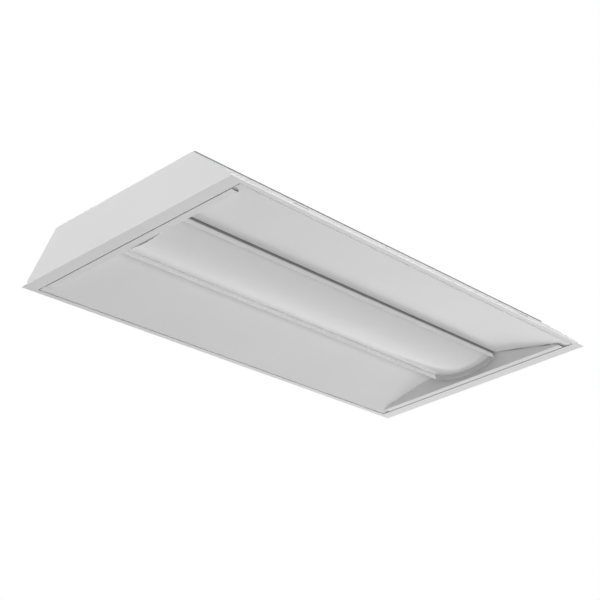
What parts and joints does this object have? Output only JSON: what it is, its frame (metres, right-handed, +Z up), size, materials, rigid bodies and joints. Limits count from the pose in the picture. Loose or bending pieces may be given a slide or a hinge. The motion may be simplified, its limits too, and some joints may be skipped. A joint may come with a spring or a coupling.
{
  "type": "troffer light",
  "caption": "Recessed troffer light with a sheet steel housing, a bowed central lens between white reflector panels, and a hinged reflector door.",
  "frame": {"origin": "centre of the ceiling plane, on which the underside of the flange rests", "axes": "+X along the length, +Y across towards the hinged side of the door, +Z up into the ceiling"},
  "size_m": [1.213, 0.603, 0.1032],
  "materials": {
    "white_enamel": "satin",
    "driver_enamel": "satin",
    "zinc_steel": "satin",
    "diffuser_acrylic": "gloss",
    "board_white": "matte",
    "led_phosphor": "satin",
    "connector_ivory": "matte",
    "terminal_grey": "matte",
    "disconnect_orange": "matte",
    "wire_black": "satin",
    "rubber_black": "matte",
    "wire_red": "satin",
    "wire_green": "satin",
    "screw_green": "satin"
  },
  "bodies": {
    "housing": {"housing_pan": "white_enamel", "end_plate_left": "white_enamel", "end_plate_right": "white_enamel", "corner_rivets": "zinc_steel", "light_box": "white_enamel", "light_box_end_left": "white_enamel", "light_box_end_right": "white_enamel", "light_box_screws": "zinc_steel", "led_board_1": "board_white", "led_board_2": "board_white", "led_board_3": "board_white", "led_board_4": "board_white", "led_packages": "led_phosphor", "board_connectors": "connector_ivory", "jumper_wires": "wire_red", "board_screws": "zinc_steel", "driver_base": "zinc_steel", "driver_case": "driver_enamel", "driver_terminals": "terminal_grey", "driver_screws": "zinc_steel", "wireway_cover": "white_enamel", "cover_screws": "zinc_steel", "quick_disconnect_socket": "disconnect_orange", "quick_disconnect_plug": "disconnect_orange", "line_wires": "wire_black", "ground_wire": "wire_green", "ground_screw": "screw_green", "led_wires": "wire_red", "wire_grommet": "rubber_black", "wire_saddles": "connector_ivory", "access_pivot_rivet": "zinc_steel", "access_screw": "zinc_steel", "hinge_brackets": "zinc_steel", "latch_keepers": "zinc_steel", "clip_rivets": "zinc_steel"},
    "access": {"access_plate": "zinc_steel", "knockout_slug": "zinc_steel"},
    "door": {"side_panel_near": "white_enamel", "side_panel_far": "white_enamel", "end_panel_left": "white_enamel", "end_panel_right": "white_enamel", "collar_rail_near": "white_enamel", "collar_rail_far": "white_enamel", "collar_end_left": "white_enamel", "collar_end_right": "white_enamel", "collar_rivets": "zinc_steel", "lens": "diffuser_acrylic", "hinge_pins": "zinc_steel", "latch_guides": "zinc_steel"},
    "latch_left": {"latch_slide_left": "zinc_steel"},
    "latch_right": {"latch_slide_right": "zinc_steel"},
    "clip_1": {"grid_clip_1": "zinc_steel"},
    "clip_2": {"grid_clip_2": "zinc_steel"},
    "clip_3": {"grid_clip_3": "zinc_steel"},
    "clip_4": {"grid_clip_4": "zinc_steel"}
  },
  "joints": [
    {"name": "door_hinge", "type": "hinge", "parent": "housing", "child": "door", "pos_m": [0, 0.2855, 0.0023], "axis": [1, 0, 0], "range_deg": [0, 90]},
    {"name": "latch_left_slide", "type": "slide", "parent": "door", "child": "latch_left", "axis": [1, 0, 0], "range_m": [0, 0.012]},
    {"name": "latch_right_slide", "type": "slide", "parent": "door", "child": "latch_right", "axis": [1, 0, 0], "range_m": [0, 0.012]},
    {"name": "access_swing", "type": "hinge", "parent": "housing", "child": "access", "pos_m": [0.31, -0.123, 0.1008], "axis": [0, 0, 1], "range_deg": [0, 110]},
    {"name": "clip_1_swing", "type": "hinge", "parent": "housing", "child": "clip_1", "pos_m": [-0.4, -0.27606, 0.02766], "axis": [0, 0.6892, -0.7246], "range_deg": [0, 90]},
    {"name": "clip_2_swing", "type": "hinge", "parent": "housing", "child": "clip_2", "pos_m": [0.4, -0.27606, 0.02766], "axis": [0, -0.6892, 0.7246], "range_deg": [0, 90]},
    {"name": "clip_3_swing", "type": "hinge", "parent": "housing", "child": "clip_3", "pos_m": [-0.4, 0.27606, 0.02766], "axis": [0, 0.6892, 0.7246], "range_deg": [0, 90]},
    {"name": "clip_4_swing", "type": "hinge", "parent": "housing", "child": "clip_4", "pos_m": [0.4, 0.27606, 0.02766], "axis": [0, -0.6892, -0.7246], "range_deg": [0, 90]}
  ]
}
